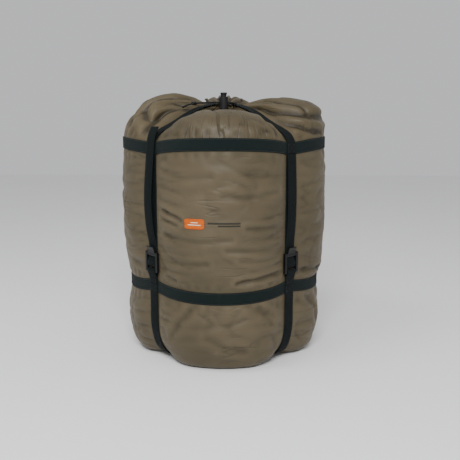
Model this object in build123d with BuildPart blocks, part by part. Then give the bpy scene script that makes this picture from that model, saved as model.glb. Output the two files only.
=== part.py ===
from build123d import *
import math
import os

# A packed compression stuff sack, standing on its base. Sizes are in millimetres.
# Z points up, the base rests on z = 0, the Z axis is the sack's own axis and the front faces -Y.
# Four webbing straps, 90 degrees apart, run up the side and cross over the mouth and under the base.

os.makedirs("parts", exist_ok=True)

# ---------------------------------------------------------------- webbing and cloth
WEBBING_WIDTH = 20.0
WEBBING = 1.5            # webbing thickness
CLOTH = 1.5              # thickness given to the coated nylon so that it makes a sound solid
STITCH = 0.25            # height of a block of stitching above the webbing
GAP = 0.4                # kept between pieces that move against each other

# ---------------------------------------------------------------- body of the sack
BASE_RADIUS = 142.0      # edge of the flat base
HIP_RADIUS = 176.0       # widest point between the base and the lower band
LOW_WAIST_RADIUS = 171.0
BELLY_RADIUS = 185.0
HIGH_WAIST_RADIUS = 180.0
LOWER_BAND_Z = 117.0     # bottom edges of the two bands
UPPER_BAND_Z = 365.0
SIDE_CREST_Z = 463.0     # top of the side and rear lobes
FRONT_CREST_Z = 434.0    # the front lobe is pressed lower
MOUTH_RADIUS = 34.0      # the hollow that the drawn-up mouth sits in
MOUTH_FLOOR_Z = 428.0
BASE_PANEL_RADIUS = 130.0

# ---------------------------------------------------------------- path of the straps
STRAP_AZIMUTHS = (-45, 45, 135, 225)
STRAP_RADIUS = 160.0     # the straps pull the cloth in to this radius
STRAP_BASE_Z = 5.7       # and up to this height under the base
BASE_CORNER_RADIUS = 45.0
SHOULDER = (STRAP_RADIUS, 397.0)
SLOPE_END = (92.0, 428.0)
TOP_START = (35.0, 439.0)
SHOULDER_FILLET = 18.0
CROWN_FILLET = 150.0
TRENCH_HALF_WIDTH = 12.0
TRENCH_SLOPE = 22.0      # degrees, how steeply the lobes rise beside a strap
TRENCH_HEIGHT = 48.0

# ---------------------------------------------------------------- ladder locks
PIVOT_Z = 162.0          # height of the bar that the lock hangs on
PIVOT_OUT = 4.9          # distance of that bar outside the strap radius
PIVOT_BAR_RADIUS = 1.6
STRAP_LOOP_RADIUS = 1.9  # inside of the webbing loop round the bar
RAIL_INNER = 11.5
RAIL_OUTER = 16.0
RAIL_BACK = 3.2
RAIL_FRONT = 7.4
MIDDLE_BAR_Z = 176.0
MIDDLE_BAR_OUT = 4.0
MIDDLE_BAR_RADIUS = 2.1
NOSE_BAR_Z = 188.0
NOSE_BAR_TOP_Z = 193.0
LIP_TOP_Z = 203.0
LIP_HALF_WIDTH = 9.0
THREAD_OUT = 0.4         # the threaded webbing clears the cloth by this much
THREAD_TOP_Z = 196.0
RISER_START_Z = 192.2
TAIL_OUT = 3.8           # the loose tails stand this far off the strap radius

# ---------------------------------------------------------------- mouth, drawcord and cord lock
HEM_RADIUS = 22.5
HEM_WIDTH = 10.0
HEM_HEIGHT = 11.0
CORD_DIAMETER = 2.5
CORD_Z = 433.5           # height of the cord inside the hem
LOCK_X = 2.0
LOCK_Y = -56.0
LOCK_Z = 443.0           # height of the cord where it passes the lock
CORD_SPACING = 4.0
KNOT_DISTANCE = 51.0     # from the lock along the cord
BARREL_RADIUS = 7.5
BARREL_BELOW = 12.0      # how far the barrel reaches below and above the cord
BARREL_ABOVE = 9.0
BORE_RADIUS = 5.2
PLUNGER_RADIUS = 4.9
PLUNGER_TRAVEL = 4.0
CORD_HOLE = 3.3
SPRING_RADIUS = 3.6
SPRING_WIRE = 0.7
SPRING_TURNS = 4

# ---------------------------------------------------------------- label
LABEL_X = -39.75
LABEL_Z = 251.0
LABEL_WIDTH = 32.5
LABEL_HEIGHT = 16.5
LABEL_THICKNESS = 0.5
PRINTED_BARS = ((-18.0, 33.0, 1.8), (-2.0, 33.0, -2.3))   # left end, right end and height on the label


def strap_plane(azimuth, offset=0.0):
    """Upright plane through the sack's axis, with radius as its x and height as its y."""
    angle = math.radians(azimuth)
    across = Vector(math.sin(angle), -math.cos(angle), 0)
    return Plane(origin=across * offset, x_dir=(math.cos(angle), math.sin(angle), 0), z_dir=across)


def land_half(inset=0.0, base_z=STRAP_BASE_Z, crown_lift=0.0):
    """Corner points of the cloth under one strap, from under the base to the top centre."""
    return [
        (STRAP_RADIUS - inset, base_z + inset),
        (SHOULDER[0] - inset, SHOULDER[1] - 0.6 * inset),
        (SLOPE_END[0] - 0.3 * inset, SLOPE_END[1] - inset),
        (TOP_START[0], TOP_START[1] - inset + crown_lift),
    ]


def lobed_body(inset=0.0, floor_z=0.0):
    """The packed sack as one solid: a barrel pressed into four lobes by the straps."""
    front = [(164, 421), (138, 430), (112, FRONT_CREST_Z), (72, 429)]
    sides = [(166, 425), (145, 448), (95, SIDE_CREST_Z), (46, 457)]
    with BuildPart() as body:
        for crown, rim_z, start, sweep_angle in ((front, 428.8, -135, 90), (sides, 455.5, -45, 270)):
            crown_side, crown_turn, crest, inner = [(r - inset, z - inset) for r, z in crown]
            shoulder = (HIGH_WAIST_RADIUS - inset, UPPER_BAND_Z + WEBBING_WIDTH)
            rim = (MOUTH_RADIUS + inset, rim_z - inset)
            mouth_floor = (MOUTH_RADIUS + inset, MOUTH_FLOOR_Z - inset)
            with BuildSketch(strap_plane(start)):
                with BuildLine():
                    low_waist = (LOW_WAIST_RADIUS - inset, LOWER_BAND_Z)
                    low_waist_top = (LOW_WAIST_RADIUS - inset, LOWER_BAND_Z + WEBBING_WIDTH)
                    high_waist = (HIGH_WAIST_RADIUS - inset, UPPER_BAND_Z)
                    Line((0, floor_z), (BASE_RADIUS - inset, floor_z))
                    ThreePointArc((BASE_RADIUS - inset, floor_z), (HIP_RADIUS - inset, 62), low_waist)
                    Line(low_waist, low_waist_top)
                    ThreePointArc(low_waist_top, (BELLY_RADIUS - inset, 262), high_waist)
                    Line(high_waist, shoulder)
                    ThreePointArc(shoulder, crown_side, crown_turn)
                    ThreePointArc(crown_turn, crest, inner)
                    Line(inner, rim)
                    Line(rim, mouth_floor)
                    Line(mouth_floor, (0, MOUTH_FLOOR_Z - inset))
                    Line((0, MOUTH_FLOOR_Z - inset), (0, floor_z))
                make_face()
            revolve(axis=Axis.Z, revolution_arc=sweep_angle)
        for azimuth in STRAP_AZIMUTHS:
            plane = strap_plane(azimuth)
            corners = land_half(inset)
            with BuildLine(plane) as path:
                FilletPolyline(
                    (-15, corners[0][1]), *corners, (-15, corners[-1][1]),
                    radius=[BASE_CORNER_RADIUS, SHOULDER_FILLET, CROWN_FILLET, CROWN_FILLET],
                )
            start = plane.from_local_coords((-15, corners[0][1], 0))
            with BuildSketch(Plane(origin=start, x_dir=plane.z_dir, z_dir=plane.x_dir)):
                side = TRENCH_HALF_WIDTH + TRENCH_HEIGHT / math.tan(math.radians(TRENCH_SLOPE))
                with BuildLine():
                    Polyline(
                        (-TRENCH_HALF_WIDTH, 0), (TRENCH_HALF_WIDTH, 0),
                        (side, TRENCH_HEIGHT), (-side, TRENCH_HEIGHT), close=True,
                    )
                make_face()
            sweep(path=path.line, mode=Mode.SUBTRACT)
    return body.part


def strap_loop(azimuth, base_z=STRAP_BASE_Z, crown_lift=0.0):
    """One closed loop of webbing right round the sack, a webbing thickness off the cloth."""
    right = land_half(0.0, base_z, crown_lift)
    left = [(-r, z) for r, z in reversed(right)]
    with BuildPart() as loop:
        for distance, mode in ((2 * WEBBING, Mode.ADD), (WEBBING, Mode.SUBTRACT)):
            with BuildSketch(strap_plane(azimuth)):
                with BuildLine():
                    FilletPolyline(
                        *right, *left, close=True,
                        radius=[
                            BASE_CORNER_RADIUS, SHOULDER_FILLET, CROWN_FILLET, CROWN_FILLET,
                            CROWN_FILLET, CROWN_FILLET, SHOULDER_FILLET, BASE_CORNER_RADIUS,
                        ],
                    )
                make_face()
                offset(amount=distance)
            extrude(amount=WEBBING_WIDTH / 2, both=True, mode=mode)
    return loop.part


def out(distance):
    """Radius at a distance outside the strap radius."""
    return STRAP_RADIUS + distance


def tube(points, radii):
    """Round drawcord along a filleted path."""
    with BuildPart() as cord:
        with BuildLine() as path:
            FilletPolyline(*points, radius=radii)
        with BuildSketch(Plane(origin=path.line @ 0, z_dir=path.line % 0)):
            Circle(CORD_DIAMETER / 2)
        sweep(path=path.line)
    length = sum(edge.length for edge in path.edges())
    ratio = cord.part.volume / (math.pi * CORD_DIAMETER ** 2 / 4 * length)
    print("cord length", round(length, 1), "bend radii", radii, "volume over section x length", round(ratio, 4))
    return cord.part


# ---------------------------------------------------------------- the cloth skin and its filling
outer = lobed_body()
skin = outer - lobed_body(CLOTH, CLOTH)

with BuildPart() as base_panel:
    add(skin)
    with Locations((0, 0, 10)):
        Cylinder(BASE_PANEL_RADIUS, 20, mode=Mode.INTERSECT)
base_panel.part.label = "base_panel"
export_step(base_panel.part, "parts/base_panel.step")

with BuildPart() as lower_wall:
    add(skin)
    with Locations((0, 0, (LOWER_BAND_Z + WEBBING_WIDTH) / 2)):
        Box(500, 500, LOWER_BAND_Z + WEBBING_WIDTH, mode=Mode.INTERSECT)
    with Locations((0, 0, 10)):
        Cylinder(BASE_PANEL_RADIUS, 20, mode=Mode.SUBTRACT)
lower_wall.part.label = "lower_wall"
export_step(lower_wall.part, "parts/lower_wall.step")

with BuildPart() as middle_wall:
    add(skin)
    middle_bottom = LOWER_BAND_Z + WEBBING_WIDTH
    middle_height = UPPER_BAND_Z - GAP - middle_bottom
    with Locations((0, 0, middle_bottom + middle_height / 2)):
        Box(500, 500, middle_height, mode=Mode.INTERSECT)
middle_wall.part.label = "middle_wall"
export_step(middle_wall.part, "parts/middle_wall.step")

with BuildPart() as crown_wall:
    add(skin)
    with Locations((0, 0, UPPER_BAND_Z + 100)):
        Box(500, 500, 200, mode=Mode.INTERSECT)
crown_wall.part.label = "crown_wall"
export_step(crown_wall.part, "parts/crown_wall.step")

# The filling sits on the base panel and stays clear of the walls.
with BuildPart() as packed_load:
    add(lobed_body(CLOTH + 1.5, CLOTH))
packed_load.part.label = "packed_load"
export_step(packed_load.part, "parts/packed_load.step")


# ---------------------------------------------------------------- the two bands
def band(waist_radius, bottom_z):
    """Horizontal webbing band that follows the lobes and dips in under each strap."""
    with BuildSketch() as waist:
        Circle(waist_radius)
        for azimuth in STRAP_AZIMUTHS:
            rise = math.tan(math.radians(TRENCH_SLOPE))
            with BuildSketch(mode=Mode.PRIVATE) as notch:
                with BuildLine():
                    side = TRENCH_HALF_WIDTH + TRENCH_HEIGHT / rise
                    Polyline(
                        (STRAP_RADIUS, -TRENCH_HALF_WIDTH), (STRAP_RADIUS, TRENCH_HALF_WIDTH),
                        (STRAP_RADIUS + TRENCH_HEIGHT, side), (STRAP_RADIUS + TRENCH_HEIGHT, -side), close=True,
                    )
                make_face()
            add(notch.sketch.rotate(Axis.Z, azimuth), mode=Mode.SUBTRACT)
    with BuildPart() as ring:
        with BuildSketch(Plane.XY.offset(bottom_z)):
            add(offset(waist.sketch, WEBBING))
            add(waist.sketch, mode=Mode.SUBTRACT)
        extrude(amount=WEBBING_WIDTH)
    return ring.part


with BuildPart() as lower_band:
    add(band(LOW_WAIST_RADIUS, LOWER_BAND_Z))
lower_band.part.label = "lower_band"
export_step(lower_band.part, "parts/lower_band.step")

with BuildPart() as upper_band:
    add(band(HIGH_WAIST_RADIUS, UPPER_BAND_Z))
upper_band.part.label = "upper_band"
export_step(upper_band.part, "parts/upper_band.step")


# ---------------------------------------------------------------- straps under the base
def anchor_loop(side):
    """Edge view of the sewn webbing loop that holds one ladder lock; side is 1 or -1."""
    centre = side * out(PIVOT_OUT)
    loop_outer = STRAP_LOOP_RADIUS + WEBBING
    with BuildSketch() as loop:
        with Locations((centre, PIVOT_Z)):
            Circle(loop_outer)
            Circle(STRAP_LOOP_RADIUS, mode=Mode.SUBTRACT)
        with Locations((centre, PIVOT_Z - 5)):
            Rectangle(20, 10, mode=Mode.SUBTRACT)
        with BuildLine():
            Polyline(
                (side * out(PIVOT_OUT + STRAP_LOOP_RADIUS), PIVOT_Z),
                (side * out(PIVOT_OUT + loop_outer), PIVOT_Z),
                (side * out(3 * WEBBING), PIVOT_Z - 13),
                (side * out(3 * WEBBING), PIVOT_Z - 22),
                (side * out(2 * WEBBING), PIVOT_Z - 22),
                (side * out(2 * WEBBING), PIVOT_Z - 12),
                close=True,
            )
        make_face()
    return loop.sketch


for number, (azimuth, base_z) in enumerate(((-45, STRAP_BASE_Z + WEBBING), (45, STRAP_BASE_Z)), start=1):
    with BuildPart() as base_strap:
        add(strap_loop(azimuth, base_z))
        with Locations((0, 0, PIVOT_Z - 200)):
            Box(600, 600, 400, mode=Mode.INTERSECT)
        with BuildSketch(strap_plane(azimuth)):
            add(anchor_loop(1))
            add(anchor_loop(-1))
        extrude(amount=WEBBING_WIDTH / 2, both=True)
    name = f"base_strap_{number}"
    base_strap.part.label = name
    export_step(base_strap.part, f"parts/{name}.step")

# ---------------------------------------------------------------- straps over the mouth
for number, (azimuth, crown_lift) in enumerate(((-45, 0.0), (45, WEBBING)), start=1):
    with BuildPart() as top_strap:
        add(strap_loop(azimuth, STRAP_BASE_Z, crown_lift))
        with Locations((0, 0, UPPER_BAND_Z + 200)):
            Box(600, 600, 400, mode=Mode.INTERSECT)
    name = f"top_strap_{number}"
    top_strap.part.label = name
    export_step(top_strap.part, f"parts/{name}.step")


# ---------------------------------------------------------------- the four corners: riser, lock, tail
def edge_strip(azimuth, corners, width=WEBBING_WIDTH):
    """Webbing of the given edge outline, centred on a strap plane."""
    with BuildPart() as strip:
        with BuildSketch(strap_plane(azimuth)):
            with BuildLine():
                Polyline(*corners, close=True)
            make_face()
        extrude(amount=width / 2, both=True)
    return strip.part


def ladder_lock(azimuth):
    """Moulded adjuster: two rails, the bar it hangs on, the middle bar, the nose bar and its lip."""
    with BuildPart() as lock:
        for side in (1, -1):
            with BuildSketch(strap_plane(azimuth, side * RAIL_INNER)):
                with Locations((out((RAIL_BACK + RAIL_FRONT) / 2), (PIVOT_Z + NOSE_BAR_TOP_Z) / 2 - 1)):
                    RectangleRounded(RAIL_FRONT - RAIL_BACK, NOSE_BAR_TOP_Z - PIVOT_Z + 4, 1.6)
            extrude(amount=side * (RAIL_OUTER - RAIL_INNER))
        with BuildSketch(strap_plane(azimuth)):
            with Locations((out(PIVOT_OUT), PIVOT_Z)):
                Circle(PIVOT_BAR_RADIUS)
            with Locations((out(MIDDLE_BAR_OUT), MIDDLE_BAR_Z)):
                Circle(MIDDLE_BAR_RADIUS)
            with BuildLine():
                Polyline(
                    (out(THREAD_OUT + 2 * WEBBING), NOSE_BAR_Z),
                    (out(6.0), NOSE_BAR_Z - 1),
                    (out(7.2), NOSE_BAR_Z + 1),
                    (out(7.2), NOSE_BAR_TOP_Z),
                    (out(THREAD_OUT + 2 * WEBBING), NOSE_BAR_TOP_Z),
                    close=True,
                )
            make_face()
        extrude(amount=RAIL_INNER + 0.5, both=True)
        with BuildSketch(strap_plane(azimuth)):
            with BuildLine():
                Polyline(
                    (out(4.6), NOSE_BAR_TOP_Z - 0.5),
                    (out(7.2), NOSE_BAR_TOP_Z - 0.5),
                    (out(8.4), NOSE_BAR_TOP_Z + 5),
                    (out(10.6), LIP_TOP_Z),
                    (out(8.4), LIP_TOP_Z + 0.6),
                    (out(6.2), NOSE_BAR_TOP_Z + 5.5),
                    close=True,
                )
            make_face()
        extrude(amount=LIP_HALF_WIDTH, both=True)
    return lock.part


def threaded_webbing(azimuth):
    """Short stretch of riser webbing held by the lock: down behind, round the middle bar and out."""
    back = THREAD_OUT
    centre = out(MIDDLE_BAR_OUT)
    with BuildPart() as thread:
        with BuildSketch(strap_plane(azimuth)):
            with Locations((centre, MIDDLE_BAR_Z)):
                Circle(MIDDLE_BAR_RADIUS + WEBBING)
            with Locations((centre, MIDDLE_BAR_Z + 5)):
                Rectangle(20, 10, mode=Mode.SUBTRACT)
            with Locations((out(back + WEBBING / 2), (MIDDLE_BAR_Z + RISER_START_Z - GAP) / 2)):
                Rectangle(WEBBING, RISER_START_Z - GAP - MIDDLE_BAR_Z)
            with BuildLine():
                Polyline(
                    (centre + MIDDLE_BAR_RADIUS, MIDDLE_BAR_Z),
                    (centre + MIDDLE_BAR_RADIUS + WEBBING, MIDDLE_BAR_Z),
                    (centre + MIDDLE_BAR_RADIUS + WEBBING, MIDDLE_BAR_Z + 1),
                    (out(back + 2 * WEBBING), NOSE_BAR_Z - 0.5),
                    (out(back + 2 * WEBBING), THREAD_TOP_Z),
                    (out(back + WEBBING), THREAD_TOP_Z),
                    (out(back + WEBBING), NOSE_BAR_Z - 0.5),
                    (centre + MIDDLE_BAR_RADIUS, MIDDLE_BAR_Z + 1),
                    close=True,
                )
            make_face()
            with Locations((centre, MIDDLE_BAR_Z)):
                Circle(MIDDLE_BAR_RADIUS, mode=Mode.SUBTRACT)
        extrude(amount=WEBBING_WIDTH / 2, both=True)
    return thread.part


# name of the corner, its azimuth, and how high its loose tail reaches
CORNERS = (
    ("front_right", -45, 360.0),
    ("rear_right", 45, 330.0),
    ("rear_left", 135, 300.0),
    ("front_left", 225, 384.0),
)

for corner, azimuth, tail_top in CORNERS:
    with BuildPart() as riser:
        add(edge_strip(azimuth, [
            (out(0), RISER_START_Z),
            (out(WEBBING), RISER_START_Z),
            (out(WEBBING), UPPER_BAND_Z - GAP),
            (out(0), UPPER_BAND_Z - GAP),
        ]))
    riser.part.label = f"riser_strap_{corner}"
    export_step(riser.part, f"parts/riser_strap_{corner}.step")

    with BuildPart() as lock:
        add(ladder_lock(azimuth))
    lock.part.label = f"ladder_lock_{corner}"
    export_step(lock.part, f"parts/ladder_lock_{corner}.step")

    with BuildPart() as thread:
        add(threaded_webbing(azimuth))
    thread.part.label = f"threaded_webbing_{corner}"
    export_step(thread.part, f"parts/threaded_webbing_{corner}.step")

    inside = [(out(WEBBING), THREAD_TOP_Z + GAP), (out(WEBBING), 215), (out(TAIL_OUT), 235), (out(TAIL_OUT), tail_top)]
    outside = [(r + WEBBING, z) for r, z in inside]
    if corner == "front_left":
        # this tail reaches past the band and leans in over the shoulder
        inside = inside + [(out(TAIL_OUT - 3), tail_top + 14)]
        outside = outside + [(out(TAIL_OUT - 3 + WEBBING), tail_top + 14)]
    with BuildPart() as tail:
        add(edge_strip(azimuth, inside + outside[::-1]))
    tail.part.label = f"strap_tail_{corner}"
    export_step(tail.part, f"parts/strap_tail_{corner}.step")


# ---------------------------------------------------------------- blocks of stitching
def stitch_frame(width, height):
    """Outline of a sewn box with a line across it."""
    with BuildSketch() as frame:
        Rectangle(width, height)
        Rectangle(width - 2, height - 2, mode=Mode.SUBTRACT)
        Rectangle(width, 1)
    return frame.sketch


def side_stitching(distance, centre_z, height):
    """The same block of stitching on all four sides, at a distance off the strap radius."""
    with BuildPart() as blocks:
        for azimuth in STRAP_AZIMUTHS:
            upright = strap_plane(azimuth)
            face = Plane(
                origin=upright.from_local_coords((out(distance), centre_z, 0)),
                x_dir=upright.z_dir,
                z_dir=upright.x_dir,
            )
            with BuildSketch(face):
                add(stitch_frame(WEBBING_WIDTH - 4, height))
            extrude(amount=STITCH)
    return blocks.part


with BuildPart() as lower_band_stitching:
    add(side_stitching(2 * WEBBING, LOWER_BAND_Z + WEBBING_WIDTH / 2, WEBBING_WIDTH - 4))
lower_band_stitching.part.label = "lower_band_stitching"
export_step(lower_band_stitching.part, "parts/lower_band_stitching.step")

with BuildPart() as anchor_loop_stitching:
    add(side_stitching(3 * WEBBING, PIVOT_Z - 17.5, 7))
anchor_loop_stitching.part.label = "anchor_loop_stitching"
export_step(anchor_loop_stitching.part, "parts/anchor_loop_stitching.step")

with BuildPart() as upper_band_stitching:
    add(side_stitching(2 * WEBBING, UPPER_BAND_Z + WEBBING_WIDTH / 2, WEBBING_WIDTH - 4))
upper_band_stitching.part.label = "upper_band_stitching"
export_step(upper_band_stitching.part, "parts/upper_band_stitching.step")

with BuildPart() as base_cross_stitching:
    with BuildSketch(Plane.XY.offset(STRAP_BASE_Z - 2 * WEBBING).rotated((0, 0, 45))):
        add(stitch_frame(WEBBING_WIDTH - 4, WEBBING_WIDTH - 4))
    extrude(amount=-STITCH)
base_cross_stitching.part.label = "base_cross_stitching"
export_step(base_cross_stitching.part, "parts/base_cross_stitching.step")

with BuildPart() as top_cross_stitching:
    with BuildSketch(Plane.XY.offset(TOP_START[1] + 3 * WEBBING).rotated((0, 0, 45))):
        add(stitch_frame(WEBBING_WIDTH - 4, WEBBING_WIDTH - 4))
    extrude(amount=STITCH)
top_cross_stitching.part.label = "top_cross_stitching"
export_step(top_cross_stitching.part, "parts/top_cross_stitching.step")

# ---------------------------------------------------------------- drawcord and its hem
far_y = LOCK_Y - CORD_SPACING / 2
near_y = LOCK_Y + CORD_SPACING / 2
far_leg_x = HEM_RADIUS
near_leg_x = HEM_RADIUS - CORD_SPACING
LEG_Z = LOCK_Z - 6       # the two legs dip here to pass under a top strap

with BuildPart() as drawcord_loop:
    add(tube(
        [
            (LOCK_X, far_y, LOCK_Z),
            (far_leg_x, far_y, LOCK_Z),
            (far_leg_x, far_y + 19, LEG_Z),
            (far_leg_x, -14, CORD_Z),
            (HEM_RADIUS, HEM_RADIUS, CORD_Z),
            (-HEM_RADIUS, HEM_RADIUS, CORD_Z),
            (-HEM_RADIUS, -HEM_RADIUS, CORD_Z),
            (near_leg_x, -HEM_RADIUS, CORD_Z),
            (near_leg_x, near_y + 16, LEG_Z),
            (near_leg_x, near_y, LOCK_Z),
            (LOCK_X, near_y, LOCK_Z),
        ],
        [8.5, 60, 60, 21.5, 21.5, 21.5, 7.5, 55, 7.5],
    ))
drawcord_loop.part.label = "drawcord_loop"
export_step(drawcord_loop.part, "parts/drawcord_loop.step")

with BuildPart() as mouth_hem:
    with BuildSketch(strap_plane(0)):
        with Locations((HEM_RADIUS, MOUTH_FLOOR_Z + HEM_HEIGHT / 2)):
            RectangleRounded(HEM_WIDTH, HEM_HEIGHT, 3)
    revolve(axis=Axis.Z)
    add(drawcord_loop.part, mode=Mode.SUBTRACT)
mouth_hem.part.label = "mouth_hem"
export_step(mouth_hem.part, "parts/mouth_hem.step")

# The two free ends run on from the lock side by side, through one knot, and splay apart.
tails = []
for side, start_y, splay in (("near", near_y, 4.0), ("far", far_y, -4.0)):
    with BuildPart() as cord_tail:
        add(tube(
            [
                (LOCK_X, start_y, LOCK_Z),
                (LOCK_X - 40, start_y, LOCK_Z),
                (LOCK_X - 62, start_y, LOCK_Z - 3.5),
                (LOCK_X - 71, start_y + splay, LOCK_Z - 8.5),
            ],
            [60, 14],
        ))
    cord_tail.part.label = f"drawcord_tail_{side}"
    export_step(cord_tail.part, f"parts/drawcord_tail_{side}.step")
    tails.append(cord_tail.part)

with BuildPart() as cord_knot:
    with Locations((LOCK_X - KNOT_DISTANCE, LOCK_Y, LOCK_Z - 1.75)):
        Box(11, 11, 7.5)
    fillet(cord_knot.edges(), 2.8)
    add(tails[0], mode=Mode.SUBTRACT)
    add(tails[1], mode=Mode.SUBTRACT)
cord_knot.part.label = "cord_knot"
export_step(cord_knot.part, "parts/cord_knot.step")

# ---------------------------------------------------------------- cord lock
with BuildPart() as cord_lock_barrel:
    with Locations((LOCK_X, LOCK_Y, LOCK_Z + (BARREL_ABOVE - BARREL_BELOW) / 2)):
        Cylinder(BARREL_RADIUS, BARREL_ABOVE + BARREL_BELOW)
    fillet(cord_lock_barrel.edges(), 1.0)
    with Locations((LOCK_X, LOCK_Y, LOCK_Z - BARREL_BELOW + 1.5)):
        Cylinder(BORE_RADIUS, 40, align=(Align.CENTER, Align.CENTER, Align.MIN), mode=Mode.SUBTRACT)
    with BuildSketch(Plane.YZ.offset(LOCK_X)):
        with Locations((LOCK_Y, LOCK_Z)):
            SlotCenterToCenter(CORD_SPACING, CORD_HOLE)
    extrude(amount=BARREL_RADIUS + 1, both=True, mode=Mode.SUBTRACT)
cord_lock_barrel.part.label = "cord_lock_barrel"
export_step(cord_lock_barrel.part, "parts/cord_lock_barrel.step")

plunger_bottom = LOCK_Z - 4.5
with BuildPart() as cord_lock_plunger:
    with Locations((LOCK_X, LOCK_Y, plunger_bottom)):
        Cylinder(
            PLUNGER_RADIUS, LOCK_Z + BARREL_ABOVE + PLUNGER_TRAVEL + GAP - plunger_bottom,
            align=(Align.CENTER, Align.CENTER, Align.MIN),
        )
    with Locations((LOCK_X, LOCK_Y, LOCK_Z + BARREL_ABOVE + PLUNGER_TRAVEL + GAP)):
        Cylinder(PLUNGER_RADIUS + 0.8, 3, align=(Align.CENTER, Align.CENTER, Align.MIN))
    fillet(cord_lock_plunger.edges().group_by(Axis.Z)[-1], 0.8)
    with BuildSketch(Plane.YZ.offset(LOCK_X)):
        with Locations((LOCK_Y, LOCK_Z + PLUNGER_TRAVEL / 2)):
            RectangleRounded(CORD_SPACING + CORD_HOLE, CORD_HOLE + PLUNGER_TRAVEL, 1.5)
    extrude(amount=BARREL_RADIUS + 1, both=True, mode=Mode.SUBTRACT)
cord_lock_plunger.part.label = "cord_lock_plunger"
export_step(cord_lock_plunger.part, "parts/cord_lock_plunger.step")

spring_bottom = LOCK_Z - BARREL_BELOW + 1.5 + SPRING_WIRE / 2
spring_height = plunger_bottom - SPRING_WIRE / 2 - spring_bottom
with BuildPart() as cord_lock_spring:
    with BuildLine() as coil:
        Helix(pitch=spring_height / SPRING_TURNS, height=spring_height, radius=SPRING_RADIUS,
              center=(LOCK_X, LOCK_Y, spring_bottom))
    with BuildSketch(Plane(origin=coil.line @ 0, z_dir=coil.line % 0)):
        Circle(SPRING_WIRE / 2)
    sweep(path=coil.line, is_frenet=True)
cord_lock_spring.part.label = "cord_lock_spring"
export_step(cord_lock_spring.part, "parts/cord_lock_spring.step")

# ---------------------------------------------------------------- sewn label on the front lobe
label_shell = lobed_body(-LABEL_THICKNESS) - outer

with BuildPart() as label_patch:
    add(label_shell)
    with Locations((LABEL_X, -BELLY_RADIUS, LABEL_Z)):
        Box(LABEL_WIDTH, 60, LABEL_HEIGHT, mode=Mode.INTERSECT)
label_patch.part.label = "label_patch"
export_step(label_patch.part, "parts/label_patch.step")

with BuildPart() as label_bars:
    for left, right, height in PRINTED_BARS:
        with Locations(((left + right) / 2, -BELLY_RADIUS, LABEL_Z + height)):
            Box(right - left, 60, 2.4)
    add(label_shell, mode=Mode.INTERSECT)
label_bars.part.label = "label_bars"
export_step(label_bars.part, "parts/label_bars.step")
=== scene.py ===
from math import asin, cos, degrees, exp, hypot, pi, radians, sin

import bpy
import numpy as np
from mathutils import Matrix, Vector, noise


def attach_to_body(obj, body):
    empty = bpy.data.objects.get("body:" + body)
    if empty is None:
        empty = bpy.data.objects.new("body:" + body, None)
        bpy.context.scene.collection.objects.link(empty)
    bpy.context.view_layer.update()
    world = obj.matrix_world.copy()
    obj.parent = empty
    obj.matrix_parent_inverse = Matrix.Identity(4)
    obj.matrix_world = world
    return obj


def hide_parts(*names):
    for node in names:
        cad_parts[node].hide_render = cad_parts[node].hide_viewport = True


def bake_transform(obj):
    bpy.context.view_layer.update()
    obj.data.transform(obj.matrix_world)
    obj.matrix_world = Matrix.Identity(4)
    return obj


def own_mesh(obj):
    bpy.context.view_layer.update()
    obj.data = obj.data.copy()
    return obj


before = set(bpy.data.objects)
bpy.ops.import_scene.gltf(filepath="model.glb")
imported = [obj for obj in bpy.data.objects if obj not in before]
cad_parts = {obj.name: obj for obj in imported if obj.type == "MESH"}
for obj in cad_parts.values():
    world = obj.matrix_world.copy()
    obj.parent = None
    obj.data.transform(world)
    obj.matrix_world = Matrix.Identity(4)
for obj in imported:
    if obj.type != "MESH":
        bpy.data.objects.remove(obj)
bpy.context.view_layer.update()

MM = 0.001
UP = Vector((0, 0, 1))

# ---------------- sizes, in millimetres
WEBBING_WIDTH = 20.0
WEBBING_THICKNESS = 1.5
STRAP_RADIUS = 160.0
STRAP_AZIMUTHS = (-45, 45, 135, 225)
PIVOT_Z = 162.0            # bar that each ladder lock hangs on
CORD_RADIUS = 1.25
SPRING_RADIUS = 3.6
SPRING_WIRE = 0.7
SPRING_TURNS = 4

# ---------------- camera and light
camera_data = bpy.data.cameras.new("camera")
camera_data.lens = 48.9
camera_data.sensor_width = 36.0
camera_distance = 1.147
camera_height = 0.404
camera_turn = radians(2.4)
camera_aside = radians(0.55)
camera_tilt = radians(80.5)
camera = bpy.data.objects.new("camera", camera_data)
bpy.context.collection.objects.link(camera)
camera.location = (camera_distance * sin(camera_turn), -camera_distance * cos(camera_turn), camera_height)
camera.rotation_euler = (camera_tilt, 0, camera_turn - camera_aside)
bpy.context.scene.camera = camera


def area_light(name, place, target, size, power):
    """Soft rectangular light that looks at target."""
    data = bpy.data.lights.new(name, "AREA")
    data.shape = "RECTANGLE"
    data.size, data.size_y = size
    data.energy = power
    light = bpy.data.objects.new(name, data)
    bpy.context.collection.objects.link(light)
    light.location = place
    light.rotation_euler = (Vector(target) - Vector(place)).to_track_quat("-Z", "Y").to_euler()


area_light("key", (0.0, -1.8, 1.5), (0, 0, 0.22), (0.9, 0.5), 50)
area_light("top_left", (-0.9, -0.7, 1.9), (0, 0, 0.3), (0.7, 0.5), 9)

world = bpy.data.worlds.new("studio")
world.use_nodes = True
world.node_tree.nodes["Background"].inputs["Color"].default_value = (0.97, 0.98, 1.0, 1)
world.node_tree.nodes["Background"].inputs["Strength"].default_value = 0.64
bpy.context.scene.world = world


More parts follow.
